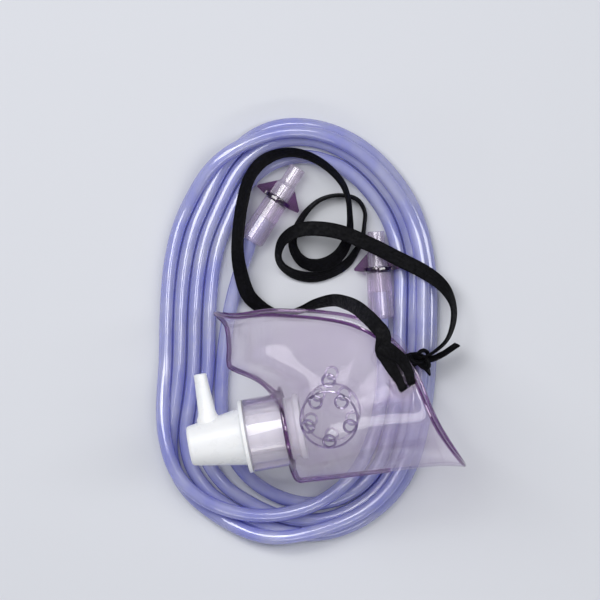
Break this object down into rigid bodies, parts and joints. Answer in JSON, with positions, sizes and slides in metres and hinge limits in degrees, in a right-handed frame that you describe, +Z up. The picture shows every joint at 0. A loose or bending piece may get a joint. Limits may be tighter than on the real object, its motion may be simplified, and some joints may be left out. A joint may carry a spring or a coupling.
{
  "type": "oxygen face mask",
  "caption": "Clear face mask with nose and chin pockets, vented cheeks and a turning inlet cone, laid on the coil of its supply tubing with its head strap looped on top.",
  "frame": {"origin": "on the surface that the set lies on, under the middle of the mask, strap and near tube connector", "axes": "+Z up from the surface, +Y from the mask toward the strap's loops and tube connectors, along the coil, and +X from the inlet cone toward the mask's rim"},
  "size_m": [0.1322, 0.1859, 0.0802],
  "materials": {
    "mask_pvc": "clear soft PVC with a faint purple tint",
    "connector_pvc": "clear soft PVC, tinted purple",
    "tube_pvc": "clear glossy tubing with a blue-violet tint",
    "white_plastic": "smooth white moulding",
    "black_elastic": "flat knitted elastic"
  },
  "bodies": {
    "mask": {"mask_shell": "mask_pvc", "head_strap": "black_elastic", "tube_connector_near": "connector_pvc", "tube_connector_far": "connector_pvc", "tubing_coil": "tube_pvc", "tubing_lead_near": "tube_pvc", "tubing_lead_far": "tube_pvc"},
    "swivel": {"swivel_connector": "white_plastic"}
  },
  "joints": [
    {"name": "connector_swivel", "type": "hinge", "parent": "mask", "child": "swivel", "pos_m": [-0.03317, -0.05175, 0.04033], "axis": [0.9837, 0.1763, 0.0347], "continuous": true}
  ]
}
